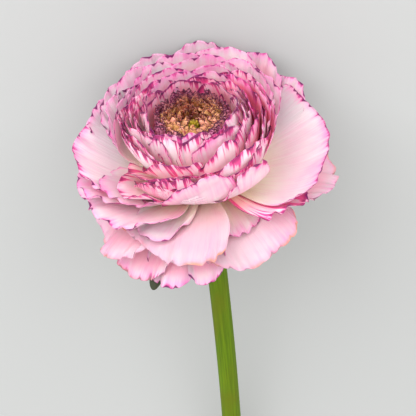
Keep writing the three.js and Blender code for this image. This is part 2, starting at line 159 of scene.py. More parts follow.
def petal_material():
    """Cream at the heart, near white in the blade and pink towards the rim, with magenta feathering
    and dark plum dots that run in from the rim's nicks. Painted light and shade also brighten the
    cup's feathered petals, dull the outer ones, and add a salmon glow in the cup's depths."""
    shader = Shader(
        "petal",
        Roughness=0.5,
        Specular_IOR_Level=0.3,
        Subsurface_Weight=0.55,
        Subsurface_Radius=(1.0, 0.6, 0.7),
        Subsurface_Scale=1.5 * MM,
        Sheen_Weight=0.1,
        Sheen_Roughness=0.5,
    )
    along, rim, seed = (shader.trait(name) for name in ("along", "rim", "seed"))
    nick, inner = shader.trait("nick"), shader.trait("inner")
    rose, feather = shader.trait("rose"), shader.trait("feather")
    tan, ink = shader.trait("tan"), shader.trait("ink")
    veins = shader.grain(1.3, 0.04, seed, detail=4.0, roughness=0.6)
    patches = shader.grain(0.12, 0.08, seed, roughness=0.6)
    strands = shader.grain(1.25, 0.05, seed, roughness=0.6)
    clusters = shader.grain(0.35, 0.03, seed, roughness=0.6)

    # The blush grows towards the rim, more in some patches and along the veins, and least
    # on petals with long feathering.
    plain = shader.step(feather, 4.5, 0.5)
    nearness = shader.math("EXPONENT", shader.math("MULTIPLY", rim, -0.1))
    nearness = shader.math("MULTIPLY", nearness, shader.math("MULTIPLY_ADD", plain, 0.5, 0.3))
    blush = shader.math("MULTIPLY_ADD", rose, 0.4, nearness)
    veining = shader.math("MULTIPLY_ADD", shader.step(veins, 0.3, 0.7), 0.9, 0.4)
    blush = shader.math("MULTIPLY", blush, veining)
    blush = shader.math("MULTIPLY", blush, shader.step(patches, 0.34, 0.7))
    # Painted light and shade: feathered petals, mostly in the cup's shade, get a brighter body, and
    # plain outer petals a duller grey one, standing in for less light on them.
    body = shader.mix(plain, srgb(255, 227, 235), srgb(208, 188, 194))
    heart = shader.mix(shader.step(along, 5.0, 26.0), srgb(246, 234, 196), body)
    bloomed = shader.mix(plain, srgb(252, 120, 182), srgb(214, 124, 172))
    colour = shader.mix(shader.math("MINIMUM", blush, 1.0), heart, bloomed)
    fine = shader.math("MULTIPLY", shader.step(veins, 0.5, 0.75), 0.25)
    colour = shader.mix(fine, colour, srgb(224, 150, 184))

    # The inner faces of the cup's petals turn salmon towards their roots: partly their own colour,
    # partly painted light that stands in for the glow through the blades in the cup's shade.
    depth = shader.step(rim, 0.4, 6.0)
    flush_and_glow = shader.math("MULTIPLY", rose, shader.math("MULTIPLY_ADD", inner, 0.8, 0.2))
    flush_and_glow = shader.math("MULTIPLY", flush_and_glow, depth)
    colour = shader.mix(shader.math("MINIMUM", flush_and_glow, 0.8), colour, srgb(255, 90, 128))

    # Feathering: fine strands of magenta that run in from the rim, plum where they start.
    gather = shader.step(clusters, 0.32, 0.58)
    strand = shader.step(strands, 0.38, 0.68)
    length = shader.math("MULTIPLY", strand, shader.math("MULTIPLY_ADD", gather, 1.3, 0.25))
    length = shader.math("MULTIPLY", length, feather)
    length = shader.math("MULTIPLY_ADD", nick, shader.math("MULTIPLY_ADD", feather, 0.3, 0.9), length)
    reach = shader.math("SUBTRACT", length, rim)
    halo = shader.step(reach, -2.5, 0.5)
    glow = shader.mix(plain, srgb(255, 92, 156), srgb(238, 104, 176))
    colour = shader.mix(shader.math("MULTIPLY", halo, 0.5), colour, glow)
    streak = shader.step(reach, 0.0, 0.9)
    magenta = shader.mix(plain, srgb(234, 44, 132), srgb(196, 40, 128))
    colour = shader.mix(shader.math("MULTIPLY", streak, 0.88), colour, magenta)
    start = shader.math("MULTIPLY", shader.step(reach, 0.7, 2.2), shader.step(rim, 3.2, 0.6))
    colour = shader.mix(shader.math("MULTIPLY", start, 0.85), colour, srgb(116, 6, 78))

    # The margin: a thin broken line, broader on inked petals, and a dot at each nick.
    margin = shader.math("MULTIPLY_ADD", shader.math("MULTIPLY", ink, strands), -1.6, rim)
    dark = shader.math("MULTIPLY", gather, shader.math("MULTIPLY_ADD", ink, 0.7, 0.35))
    line = shader.math("MULTIPLY", shader.step(margin, 0.3, 0.1), dark)
    spot = shader.math("MULTIPLY", shader.math("POWER", nick, 0.65), 2.3)
    dot = shader.step(shader.math("SUBTRACT", spot, rim), 0.4, 0.9)
    colour = shader.mix(shader.math("MAXIMUM", line, dot), colour, srgb(84, 12, 70))

    # Painted shade dulls petals with this trait all over, as if they lay in shade; an old petal's
    # edge is also worn to a brown.
    colour = shader.mix(shader.math("MULTIPLY", tan, 0.7), colour, srgb(188, 156, 166))
    worn = shader.math("MULTIPLY", shader.step(rim, 1.5, 0.3), shader.step(patches, 0.46, 0.6))
    colour = shader.mix(shader.math("MULTIPLY", worn, tan), colour, srgb(206, 128, 84))
    shader.colour(colour)
    shader.bump(veins, 0.4, 0.6)
    return shader.material


def eye_material():
    """Small petals of peach and olive with dark edges."""
    shader = Shader(
        "eye_petal",
        Roughness=0.6,
        Specular_IOR_Level=0.3,
        Subsurface_Weight=0.1,
        Subsurface_Scale=0.8 * MM,
    )
    rim, along, across = (shader.trait(name) for name in ("rim", "along", "across"))
    seed, rose = shader.trait("seed"), shader.trait("rose")
    place = shader.vector(across, along, seed)
    mottle = shader.noise(place, 1.1, 3.0)
    tint = shader.noise(shader.vector(seed, 3.0, 1.0), 3.7, 0.0)
    colour = shader.mix(shader.step(tint, 0.35, 0.65), srgb(230, 156, 130), srgb(194, 140, 84))
    colour = shader.mix(shader.math("MULTIPLY", rose, 0.95), colour, srgb(222, 136, 176))
    flecks = shader.step(shader.noise(place, 2.4, 2.0), 0.45, 0.55)
    colour = shader.mix(shader.math("MULTIPLY", flecks, rose), colour, srgb(108, 18, 72))
    colour = shader.mix(shader.step(mottle, 0.54, 0.72), colour, srgb(146, 60, 60))
    edge = shader.math("ADD", rim, shader.math("MULTIPLY", mottle, 0.9))
    edge = shader.math("MULTIPLY_ADD", rose, -0.4, edge)
    colour = shader.mix(shader.step(edge, 0.64, 0.46), colour, srgb(72, 14, 44))
    shader.colour(colour)
    shader.bump(mottle, 0.2, 0.5)
    return shader.material


def carpel_material():
    """Olive green, more amber towards the tips."""
    shader = Shader("carpel", Roughness=0.5, Specular_IOR_Level=0.35)
    along, seed = shader.trait("along"), shader.trait("seed")
    place = shader.node("TexCoord").outputs["Object"]
    mottle = shader.noise(place, 900.0, 2.0)
    colour = shader.mix(shader.step(along, 0.2, 1.4), srgb(92, 98, 12), srgb(164, 138, 30))
    colour = shader.mix(shader.step(mottle, 0.45, 0.75), colour, srgb(104, 74, 22))
    colour = shader.mix(shader.step(shader.math("FRACT", seed), 0.8, 1.0), colour, srgb(132, 108, 30))
    shader.colour(colour)
    shader.bump(mottle, 0.15, 0.5)
    return shader.material


def sepal_material():
    """Grey green with a pale edge and a dark tip."""
    shader = Shader(
        "sepal",
        Roughness=0.6,
        Specular_IOR_Level=0.3,
        Subsurface_Weight=0.08,
        Subsurface_Scale=0.8 * MM,
    )
    along, rim, seed = (shader.trait(name) for name in ("along", "rim", "seed"))
    veins = shader.grain(1.5, 0.06, seed, detail=3.0)
    colour = shader.mix(shader.step(veins, 0.3, 0.7), srgb(88, 104, 58), srgb(132, 140, 84))
    colour = shader.mix(shader.step(rim, 1.0, 0.1), colour, srgb(176, 164, 120))
    colour = shader.mix(shader.step(along, 24.0, 33.0), colour, srgb(40, 48, 26))
    shader.colour(colour)
    shader.bump(veins, 0.3, 0.6)
    return shader.material


def stem_material():
    """Green with fine lengthwise ribs, and pale where it is cut."""
    shader = Shader(
        "stem",
        Roughness=0.6,
        Specular_IOR_Level=0.12,
        Subsurface_Weight=0.1,
        Subsurface_Scale=1.5 * MM,
    )
    ribs = shader.grain(1.4, 0.03, 1.0, detail=4.0, roughness=0.6)
    patches = shader.grain(0.1, 0.04, 7.0)
    colour = shader.mix(shader.step(ribs, 0.3, 0.7), srgb(68, 94, 0), srgb(95, 120, 3))
    colour = shader.mix(shader.step(patches, 0.45, 0.75), colour, srgb(90, 100, 4))
    fresh = shader.noise(shader.node("TexCoord").outputs["Object"], 1500.0, 2.0)
    inside = shader.mix(shader.step(fresh, 0.3, 0.7), srgb(190, 206, 140), srgb(222, 226, 178))
    colour = shader.mix(shader.trait("cut"), colour, inside)
    shader.colour(colour)
    shader.bump(ribs, 0.25, 0.6)
    return shader.material


# ---- Petals ----

CLAW = 0.24  # how wide a petal is at its root, as a share
CLAW_MARGIN = 12  # keeps the rim's colours off the sides of the claw
TIGHTEST_WRAP = 6  # a petal nearer to the axis bends as if it stood this far from it
RIM_LENGTH = 2.6  # of a petal's rim, for each millimetre of its half width
NICK_SPACING = 3.4
NICK_WIDTH = 0.14  # as a share of their spacing
ROWS = 26  # of faces along a petal
COLUMNS_PER_MM = 4  # of faces across it, for each millimetre of its half width
LEAST_COLUMNS = 24
SEED_STEP = 11.7  # how far apart two petals' patterns are in the noise
TABLE_GAP = 0.05  # between the table and the petals that lie on it

# Each group counts its seeds up from here. A petal's seed settles its small differences.
OUTER_SEED, CUP_SEED, EYE_SEED, SEPAL_SEED = 100, 300, 500, 700

# What a petal is where its row doesn't say otherwise.
PLAIN = dict(
    root_pull=0.42,  # how long its midrib keeps to its angle at the root, as a share
    tip_pull=0.34,  # and to that at the tip
    round=0.36,  # how much shorter its sides are than its middle
    wrap=0.6,  # how closely it bends round the bloom's axis where it stands up
    spoon=0.006,  # how much it bends across its width anywhere
    roll=6,  # how it leans on its neighbour, in degrees
    skew=0,  # how much longer its left side is, seen from the axis
    nick_depth=0.45,
    ruffle=1.3,  # height of its waves
    waves=1.8,  # how many there are
    frill=1.5,  # height of the fine waves at its rim
    rose=0.2,  # how much it blushes, and how much painted salmon glow it gets away from its rim
    feather=0.8,  # how far magenta strands run in from its rim, and how much painted light brightens its body
    tan=0,  # how old and worn it looks, and how much painted shade dulls it all over
    ink=0,  # how dark and broad the line along its rim is
)


def curve(corners, t):
    """Points and unit directions of a cubic Bezier in the plane of radius and height."""
    a, b, c, d = (np.array(corner, float) for corner in corners)
    t = t[..., None]
    point = a * (1 - t) ** 3 + 3 * b * t * (1 - t) ** 2 + 3 * c * t**2 * (1 - t) + d * t**3
    slope = (b - a) * (1 - t) ** 2 + 2 * (c - b) * t * (1 - t) + (d - c) * t**2
    return point, slope / np.linalg.norm(slope, axis=-1, keepdims=True)


def midrib(petal):
    """Corners of the curve that a petal follows from its root to its tip."""
    root = np.array([ROOT_RADIUS, petal["root_height"]])
    tip = np.array([petal["radius"], petal["height"]])
    reach = np.linalg.norm(tip - root)
    rise, fall = math.radians(petal["root_angle"]), math.radians(petal["tip_angle"])
    leave = petal["root_pull"] * reach * np.array([math.cos(rise), math.sin(rise)])
    arrive = petal["tip_pull"] * reach * np.array([math.cos(fall), math.sin(fall)])
    return root, root + leave, tip - arrive, tip


def nicks(petal, q, random):
    """How deep the rim's small nicks are at q, from 0 to 1."""
    count = round(petal["half_width"] * RIM_LENGTH / NICK_SPACING)
    spacing = 2 / count
    places = (np.arange(count) + 0.5 + random.uniform(-0.45, 0.45, count)) * spacing - 1
    strengths = random.uniform(0.2, 1.0, count)
    return sum(
        strength * np.exp(-np.abs(q - place) / (NICK_WIDTH * spacing))
        for place, strength in zip(places, strengths)
    )


def surface(petal, q, s, random):
    """Middle surface of a petal: q from -1 to 1 across it, s from 0 at its root to 1."""
    turn = math.pi / 2 * q
    phase = petal["phase"]
    nick = nicks(petal, q, random)
    corners = midrib(petal)
    reach = np.linalg.norm(corners[3] - corners[0])

    # How far up the midrib a point lies: the sides are shorter, and the rim has lobes and nicks.
    share = s * (1 - petal["round"] + petal["round"] * np.cos(turn))
    share = share * (1 + petal["skew"] * np.sin(turn) * s**2)
    share = share * (1 + petal["lobes"] * (np.sin(4.1 * q + phase) + np.sin(7.3 * q - 2 * phase)))
    share = share - petal["nick_depth"] / reach * nick * s**6
    middle, direction = curve(corners, share)

    # How far to its side, bent round the bloom's axis and like a spoon.
    width_share = CLAW + (1 - CLAW) * np.sin(math.pi / 2 * s) ** 1.15
    width = petal["half_width"] * width_share * np.sin(turn)
    upright = np.maximum(direction[..., 1], 0)
    hug = petal["wrap"] * upright / np.maximum(middle[..., 0], TIGHTEST_WRAP)
    bend = hug + petal["spoon"] + 1e-6
    aside = np.sin(bend * width) / bend
    lift = (1 - np.cos(bend * width)) / bend

    # Waves that grow towards the rim, and a fine frill at the rim itself.
    wave = 0.7 * np.sin(petal["waves"] * math.pi * q + phase)
    wave += 0.3 * np.sin(1.7 * petal["waves"] * math.pi * q + 2 * phase)
    frill = np.sin(4.3 * petal["waves"] * math.pi * q + 3 * phase)
    frill += 0.6 * np.sin(6.1 * petal["waves"] * math.pi * q + 5 * phase)
    lift += petal["ruffle"] * s**3 * wave + petal["flare"] * s**4
    lift += 0.5 * petal["frill"] * s**8 * frill

    # The petal leans on its neighbour and turns to its place round the axis.
    roll = math.radians(petal["roll"])
    sideways = aside * math.cos(roll) - lift * math.sin(roll)
    inward = aside * math.sin(roll) + lift * math.cos(roll)
    radius = middle[..., 0] - direction[..., 1] * inward
    height = middle[..., 1] + direction[..., 0] * inward
    heading = math.radians(petal["azimuth"]) + math.radians(petal["twist"]) * share
    points = np.stack(
        [
            radius * np.cos(heading) - sideways * np.sin(heading),
            radius * np.sin(heading) + sideways * np.cos(heading),
            height,
        ],
        axis=-1,
    )
    return points, nick


def above_table(points):
    """Bends what would sink into the table along it."""
    sunk = BLADE / 2 + TABLE_GAP - ROOTS[2] - points @ TABLE_NORMAL
    return points + np.maximum(sunk, 0)[..., None] * TABLE_NORMAL


def place_in_bowl(points):
    """1 on the bowl that parts the cup from the outer petals, and less inside it."""
    out = np.hypot(points[..., 0], points[..., 1]) / BOWL_RADIUS
    down = np.maximum(BOWL_MIDDLE - points[..., 2], 0) / BOWL_DEPTH
    return np.hypot(out, down)


def scale_in_bowl(points, scale):
    """Moves points away from the bowl's middle, or closer to it."""
    scaled = points.copy()
    scaled[..., :2] *= scale[..., None]
    below = np.minimum(points[..., 2] - BOWL_MIDDLE, 0)
    scaled[..., 2] += below * (scale - 1)
    return scaled


def leaning(points, way=1):
    """Leans points of the bloom's top over to the left, or back where the way is -1."""
    leant = points.copy()
    leant[..., 0] -= way * TOP_LEAN * np.maximum(points[..., 2] - LEAN_FOOT, 0)
    return leant


def outside_bowl(points):
    """Keeps an outer petal's points clear of the cup and of the table."""
    upright = leaning(points, -1)
    clear = scale_in_bowl(upright, 1 / np.minimum(place_in_bowl(upright), 1))
    return above_table(leaning(clear))


def inside_bowl(points):
    """Keeps a cup petal's points inside the bowl and round the eye."""
    held = scale_in_bowl(points, 1 / np.maximum(place_in_bowl(points), 1))
    radius = np.hypot(held[..., 0], held[..., 1])
    pushed = np.where(held[..., 2] > EYE_FOOT, np.maximum(EYE_RADIUS / radius, 1), 1)
    held[..., :2] *= pushed[..., None]
    return leaning(held)


def distance_walked(points, axis):
    """How far each point of a grid is from its start, along one of its axes."""
    steps = np.linalg.norm(np.diff(points, axis=axis), axis=-1)
    walked = np.cumsum(steps, axis=axis)
    return np.insert(walked, 0, 0, axis=axis)


def blade_parts(points, thickness, s):
    """Vertices and faces of a closed thin blade over a grid of middle points."""
    rows, columns = points.shape[0] - 1, points.shape[1] - 1
    across, along = np.gradient(points, axis=1), np.gradient(points, axis=0)
    normal = np.cross(across, along)
    normal /= np.maximum(np.linalg.norm(normal, axis=-1, keepdims=True), 1e-9)
    half = (thickness / 2 * (1 - THINNING * s**2))[..., None]
    vertices = np.concatenate([(points + half * normal), (points - half * normal)]).reshape(-1, 3)
    count = (rows + 1) * (columns + 1)
    at = np.arange(count).reshape(rows + 1, columns + 1)
    a, b, c, d = at[:-1, :-1], at[:-1, 1:], at[1:, 1:], at[1:, :-1]
    front = np.stack([a, b, c, d], axis=-1).reshape(-1, 4)
    back = np.stack([a, d, c, b], axis=-1).reshape(-1, 4) + count
    loop = np.concatenate([at[0, :-1], at[:-1, -1], at[-1, :0:-1], at[:0:-1, 0]])
    ahead = np.roll(loop, -1)
    wall = np.stack([loop, loop + count, ahead + count, ahead], axis=-1)
    return vertices, np.concatenate([front, back, wall]).tolist()


def rim_distance(points, s):
    """Distance from each point of a grid to the petal's rim, its narrow claw apart."""
    along = distance_walked(points, 0)
    from_left = distance_walked(points, 1)
    from_right = distance_walked(points[:, ::-1], 1)[:, ::-1]
    flank = np.minimum(from_left, from_right) + CLAW_MARGIN * (1 - s) ** 2
    return np.minimum(along[-1:] - along, flank)


def both_faces(grid):
    """A blade's traits, from those of the grid of its middle points."""
    traits = {name: np.concatenate([values, values]).ravel() for name, values in grid.items()}
    traits["inner"] = np.repeat([0.0, 1.0], len(traits["across"]) // 2)
    return traits


def make_object(name, vertices, faces, traits, material, to_world=TO_WORLD):
    """A smooth mesh object in metres, with its traits as attributes of its vertices."""
    matrix = np.array(to_world)
    world = (vertices @ matrix[:3, :3].T + matrix[:3, 3]) * MM
    mesh = bpy.data.meshes.new(name)
    mesh.from_pydata(world.tolist(), [], faces)
    for trait, values in traits.items():
        layer = mesh.attributes.new(trait, "FLOAT", "POINT")
        layer.data.foreach_set("value", np.asarray(values, np.float32).ravel())
    mesh.shade_smooth()
    mesh.materials.append(material)
    made = bpy.data.objects.new(name, mesh)
    bpy.context.collection.objects.link(made)
    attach(made, "root")
    return made


def petal_parts(petal, clear, seed):
    """Vertices, faces and traits of one petal, with shorter faces towards its rim."""
    random = np.random.default_rng(seed)
    columns = max(round(COLUMNS_PER_MM * petal["half_width"]), LEAST_COLUMNS)
    q = np.linspace(-1, 1, columns + 1)[None, :]
    s = 1 - (1 - np.linspace(0, 1, ROWS + 1)[:, None]) ** 1.4
    q, s = np.broadcast_arrays(q, s)
    points, nick = surface(petal, q, s, random)
    points = clear(points)
    vertices, faces = blade_parts(points, BLADE, s)
    grid = dict(
        across=petal["half_width"] * q,
        along=distance_walked(points, 0),
        rim=rim_distance(points, s),
        nick=nick * s**6 * (1 - np.abs(q) ** 12),
        seed=np.full(q.shape, SEED_STEP * seed),
    )
    for trait in ("rose", "feather", "tan", "ink"):
        grid[trait] = np.full(q.shape, float(petal[trait]))
    return vertices, faces, both_faces(grid)


def joined(parts):
    """Several pieces' vertices, faces and traits as those of one."""
    starts = np.cumsum([0] + [len(vertices) for vertices, _, _ in parts[:-1]])
    faces = [
        [corner + start for corner in face]
        for (_, piece_faces, _), start in zip(parts, starts)
        for face in piece_faces
    ]
    traits = {
        name: np.concatenate([np.ravel(piece[name]) for _, _, piece in parts])
        for name in parts[0][2]
    }
    return np.concatenate([vertices for vertices, _, _ in parts]), faces, traits


# Outer petals, lowest whorl first. A row is one petal: azimuth, tip radius, tip height,
# tip angle (0 outward, 90 along the axis), half width, and what else sets it apart. They
# are the solids' rows, with one more frilled petal. A few differ by a millimetre or less,
# which keeps a thin blade from poking through its neighbour.
WHORLS = {
    "guard_petal": (
        dict(
            root_height=0.1, root_angle=-4, wrap=0.5, ruffle=1.5, waves=1.6, rose=0.12,
            nick_depth=0.9,
        ),
        [
            (-110, 38, -13, -52, 9, dict(rose=0.35)),
            (-127, 38, -13.5, -50, 12, dict(tan=0.3, rose=0.45, feather=1.6)),
            (-154, 39, -8, -40, 16, dict(tan=0.6, rose=0.4)),
            (-67, 38, -7.5, -38, 16, dict(roll=10, rose=0.1, tan=0.6)),
            (-97, 37.5, -10.5, -48, 8, dict(rose=0.35)),
            (6, 42, -6, -35, 15, dict(rose=0.4, tan=0.5)),
            (40, 38.5, -2, 0, 18),
            (76, 38, 9, 80, 17),
            (106, 38, 9, 80, 17),
            (142, 39, -1, 0, 19, dict(rose=0)),
            (178, 40, -2, -8, 17, dict(rose=0)),
        ],
    ),
    "spread_petal": (
        dict(root_height=0.9, root_angle=2, spoon=0.008, ruffle=1.6, waves=1.9, rose=0.15),
        [
            (-113, 38.5, 0.5, -18, 19, dict(skew=0.12, rose=0.15, tan=0.8)),
            (-66, 29, -0.9, -10, 12),
            (-143, 40, 5.5, 4, 16, dict(round=0.46, nick_depth=1.2)),
            (-164, 40.5, 9, 12, 12, dict(round=0.46, nick_depth=1.2, rose=0.3)),
            (172, 40, 15, 36, 21, dict(spoon=0.014, roll=-6, rose=0, feather=1.8, ink=0.2)),
            (152, 40, 16, 50, 11.6, dict(rose=0)),
            (133, 40, 18, 56, 14, dict(rose=0)),
            (113, 38, 24.5, 70, 13, dict(rose=0)),
            (88, 37, 26, 76, 14, dict(rose=0.2)),
            (62, 39, 23, 70, 13, dict(rose=0.4)),
            (41, 40.5, 17, 56, 12, dict(rose=0.4)),
            (-36, 38.5, 5.5, 20, 12, dict(roll=-12, rose=0.4, feather=14)),
        ],
    ),
    "inner_petal": (
        dict(
            root_height=1.7, root_angle=3, wrap=0.85, spoon=0.004, roll=5, waves=2.2,
            rose=0.15, frill=0.8,
        ),
        [
            (100, 32, 27, 80, 15),
            (73, 33, 27, 78, 15),
            (128, 33, 26, 76, 14, dict(rose=0)),
            (50, 31, 24, 82, 11),
            (150, 32, 23, 70, 12, dict(rose=0)),
            (
                1, 40, 11, 38, 28,
                dict(wrap=0.7, spoon=0.012, ruffle=0.8, frill=0.5, rose=0, feather=1.2, ink=0.35),
            ),
            (-120, 34, 2.5, 0, 9, dict(spoon=0.05, nick_depth=0, frill=0, rose=0, feather=0)),
            (-150, 34, 12, 24, 12, dict(rose=0.1)),
        ],
    ),
    "frill_petal": (
        dict(
            root_height=2.2, root_angle=4, wrap=0.9, spoon=0.01, roll=7, ruffle=1.4, waves=2,
            rose=0.25, frill=0.8,
        ),
        [
            (90, 28.5, 27.5, 86, 16),
            (120, 28.5, 27, 84, 15, dict(rose=0)),
            (60, 28.5, 26, 84, 15),
            (148, 28, 25, 82, 13, dict(rose=0)),
            (-142, 30.5, 15, 50, 11, dict(skew=0.1, rose=0.2, feather=4)),
            (-122, 27, 18, 62, 12, dict(skew=0.15, rose=0.3, feather=5)),
            (-100, 29.5, 19, 62, 16.6, dict(skew=0.28, roll=12, waves=1.2, rose=0.4, feather=1.6)),
            (-61, 26.8, 19.5, 78, 11, dict(skew=0.12, rose=0.3, feather=2.2)),
            (-113, 26.6, 21, 74, 11, dict(skew=0.15, rose=0.7, feather=3.6)),
        ],
    ),
}


def draw(seed, number):
    """A repeatable draw from -1 to 1."""
    spread = 43758.5453 * math.sin(12.9898 * seed + 78.233 * number)
    return 2 * (spread - math.floor(spread)) - 1


def waviness(petal, seed):
    """Small differences that set a petal apart from the others of its kind."""
    return dict(
        roll=petal["roll"] + 4 * draw(seed, 1),
        twist=5 * draw(seed, 2),
        skew=petal["skew"] + 0.05 * draw(seed, 3),
        lobes=0.012 * (1 + draw(seed, 4)),
        ruffle=petal["ruffle"] * (1 + 0.4 * draw(seed, 5)),
        waves=petal["waves"] * (1 + 0.3 * draw(seed, 6)),
        flare=draw(seed, 7),
        phase=math.pi * draw(seed, 8),
    )


def add_petal(name, shape, row, seed, clear, material, node):
    """One petal from a row: azimuth, tip radius, height and angle, half width, and more."""
    azimuth, radius, height, tip_angle, half_width, *more = row
    petal = PLAIN | shape
    for changes in more:
        petal |= changes
    petal |= waviness(petal, seed) | dict(
        azimuth=azimuth,
        radius=radius,
        height=height,
        tip_angle=tip_angle,
        half_width=half_width,
    )
    made = make_object(name, *petal_parts(petal, clear, seed), material)
    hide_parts(node)


def outer_petals(material):
    seed = OUTER_SEED
    for group, (shape, rows) in WHORLS.items():
        for number, row in enumerate(rows, 1):
            seed += 1
            name = f"{group}_{number:02d}"
            add_petal(name, shape, row, seed, outside_bowl, material, "outer_petals")


# The cup: a tight spiral round the eye, and listed petals round that, thickest at the
# right. The solids have about half of them.
SPIRAL_PETALS = 15
INNERMOST = dict(radius=13.7, tip_angle=106, root_height=7.6, ink=1)
OUTERMOST = dict(radius=17.7, tip_angle=96, root_height=6.4, ink=0.4)
SPIRAL_HEIGHT = 28.4  # of the petals behind the eye
FRONT_RISE = 1.8  # how much higher the ones in front of it stand
CUP_SHAPE = dict(
    root_angle=2, root_height=6, root_pull=0.4, tip_pull=0.42, round=0.24, wrap=1, spoon=0,
    ruffle=0.9, frill=0.3, nick_depth=0.3, rose=1, feather=3.5,
)
RIGHT = dict(rose=1.5, feather=2.4)
BACK = dict(rose=0.4, feather=1.2)
LEFT = dict(rose=0.2, feather=3.6)
CUP_LIST = [
    # The right wall.
    (30, 17.4, 28.3, 92, 12, RIGHT),
    (-5, 18, 27.6, 92, 11, RIGHT),
    (15, 19, 28, 90, 13, RIGHT),
    (40, 19.8, 28.2, 90, 13, RIGHT),
    (-20, 20.6, 26, 90, 12, RIGHT),
    (5, 21.4, 27.2, 88, 14, RIGHT),
    (28, 22.4, 27.5, 86, 15, RIGHT),
    (-12, 23.2, 25, 86, 14, RIGHT),
    (12, 24.2, 26.2, 84, 16, RIGHT),
    (50, 24.6, 27, 84, 14),
    (-35, 24.6, 22, 84, 15, dict(rose=0.7, feather=5)),
    # Behind.
    (75, 18, 28.6, 92, 12, BACK),
    (110, 18.5, 28.6, 92, 12, BACK),
    (92, 22, 28.2, 88, 15, BACK),
    (125, 24.6, 27.4, 84, 14, BACK),
    # At the left.
    (150, 17.6, 28, 92, 11, LEFT),
    (185, 18, 27.2, 90, 11, LEFT),
    (160, 21, 27, 88, 13, LEFT),
    (200, 21.6, 25.8, 86, 12, LEFT),
    (178, 24, 25, 82, 14, dict(rose=1.2, feather=4.5)),
    # In front, from left to right.
    (-148, 22.2, 26.5, 86, 13, dict(feather=5, skew=-0.12, rose=0.2)),
    (-131, 16.0, 29.8, 98, 11, dict(root_height=7, feather=5, skew=0.05, rose=0.1)),
    (-112, 22.5, 23.5, 72, 12, dict(root_height=6.2, feather=6, skew=0.2, rose=0.2)),
    (-132, 25.2, 18.5, 44, 15, dict(root_height=5.4, feather=8, skew=0.25, roll=16, rose=0.2)),
    (-84, 15, 30.4, 102, 5.5, dict(root_height=7.2, feather=2, rose=0)),
    (-104, 24.4, 20, 56, 13, dict(root_height=5.3, feather=4, skew=0.1, rose=0.7)),
    (-76, 20.8, 25.5, 88, 10, dict(root_height=6.6, feather=5, skew=0.2, rose=0.3)),
    (-60, 15.5, 30.2, 100, 9, dict(root_height=7.0, feather=4.5, rose=0.2)),
    (-55, 24.2, 24.6, 88, 13, dict(root_height=5.6, feather=4, skew=0.1, rose=0.3)),
    # Close together at the left.
    (166, 19.2, 28.6, 92, 12, LEFT),
    (194, 19.6, 27.8, 90, 12, LEFT),
    (176, 22.4, 26.6, 86, 13, LEFT),
    (212, 20.6, 27, 88, 11, LEFT),
]


def spiral_rows():
    """Rows of the spiral's petals, from the eye outwards."""
    for number in range(SPIRAL_PETALS):
        outward = (number + 0.5) / SPIRAL_PETALS
        between = {
            key: start + (OUTERMOST[key] - start) * outward for key, start in INNERMOST.items()
        }
        azimuth = (GOLDEN_ANGLE * number) % 360
        in_front = 0.5 - 0.5 * math.sin(math.radians(azimuth))
        height = SPIRAL_HEIGHT + FRONT_RISE * in_front**2 + 0.6 * draw(number, 9)
        tip_angle = between["tip_angle"] + 6 * draw(number, 10)
        half_width = 0.6 * between["radius"] * (1 + 0.13 * draw(number, 11))
        more = dict(
            root_height=between["root_height"],
            ink=between["ink"],
            feather=CUP_SHAPE["feather"] + 1.5 * draw(number, 12),
            rose=0.7,
        )
        yield azimuth, between["radius"], height, tip_angle, half_width, more


def cup_petals(material):
    for number, row in enumerate([*spiral_rows(), *CUP_LIST], 1):
        name = f"cup_petal_{number:02d}"
        seed = CUP_SEED + number
        add_petal(name, CUP_SHAPE, row, seed, inside_bowl, material, "cup_petals")


EYE_PETAL_LENGTH = 5
EYE_HEART = 4.4  # how far from the axis the innermost petals of the eye stand
EYE_MARGIN = 0.6  # how far inside the eye's radius the outermost ones stand
EYE_ROSE_FROM = 0.74  # share of the way to the eye's rim where its petals turn to rose
EYE_GRID = 9  # points along and across each of them


def eye_petals(material):
    """Many small crinkled petals that lean in over the middle of the cup."""
    parts = []
    for number in range(EYE_PETALS):
        random = np.random.default_rng(EYE_SEED + number)

        # Where it stands, and its own turn, half width, height and lean.
        outward = math.sqrt((number + 0.5) / EYE_PETALS)
        azimuth = math.radians(GOLDEN_ANGLE * number + random.uniform(-8, 8))
        turn = random.uniform(-0.5, 0.5)
        half = 0.75 + 0.45 * outward * random.uniform(0.2, 2.0)
        top = EYE_FLOOR + (EYE_RIM - EYE_FLOOR) * outward**1.2 + random.uniform(-1.1, 0.9)
        lean = (2.4 - 1.6 * outward**2) * random.uniform(0.4, 1.6)
        foot = EYE_HEART + (EYE_RADIUS - EYE_MARGIN - EYE_HEART) * outward

        # Its surface narrows towards a round tip, and crinkles.
        q, s = np.meshgrid(np.linspace(-1, 1, EYE_GRID), np.linspace(0, 1, EYE_GRID))
        aside = half * np.sin(math.pi / 2 * q) * (1 - 0.25 * s**2)
        crinkle = 0.35 * s**2 * np.sin(5 * q + number) + 0.12 * s * np.sin(11 * q + 2 * number)
        radius = foot - lean * s**1.7 + turn * aside + 0.3 * aside**2 / half + crinkle
        fall = 1 - s * (0.86 + 0.14 * np.cos(math.pi / 2 * q))
        height = top - EYE_PETAL_LENGTH * fall + 0.5 * crinkle
        points = np.stack(
            [
                radius * math.cos(azimuth) - aside * math.sin(azimuth),
                radius * math.sin(azimuth) + aside * math.cos(azimuth),
                height,
            ],
            axis=-1,
        )
        vertices, faces = blade_parts(leaning(points), EYE_BLADE, s)
        grid = dict(
            across=aside,
            along=distance_walked(points, 0),
            rim=rim_distance(points, s),
            seed=np.full(q.shape, 3.1 * number),
            rose=np.full(q.shape, max(0, outward - EYE_ROSE_FROM) * 4),
        )
        parts.append((vertices, faces, both_faces(grid)))
    made = make_object("eye_petals_all", *joined(parts), material)
    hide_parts("eye_petals")


# ---- Turned and swept pieces ----


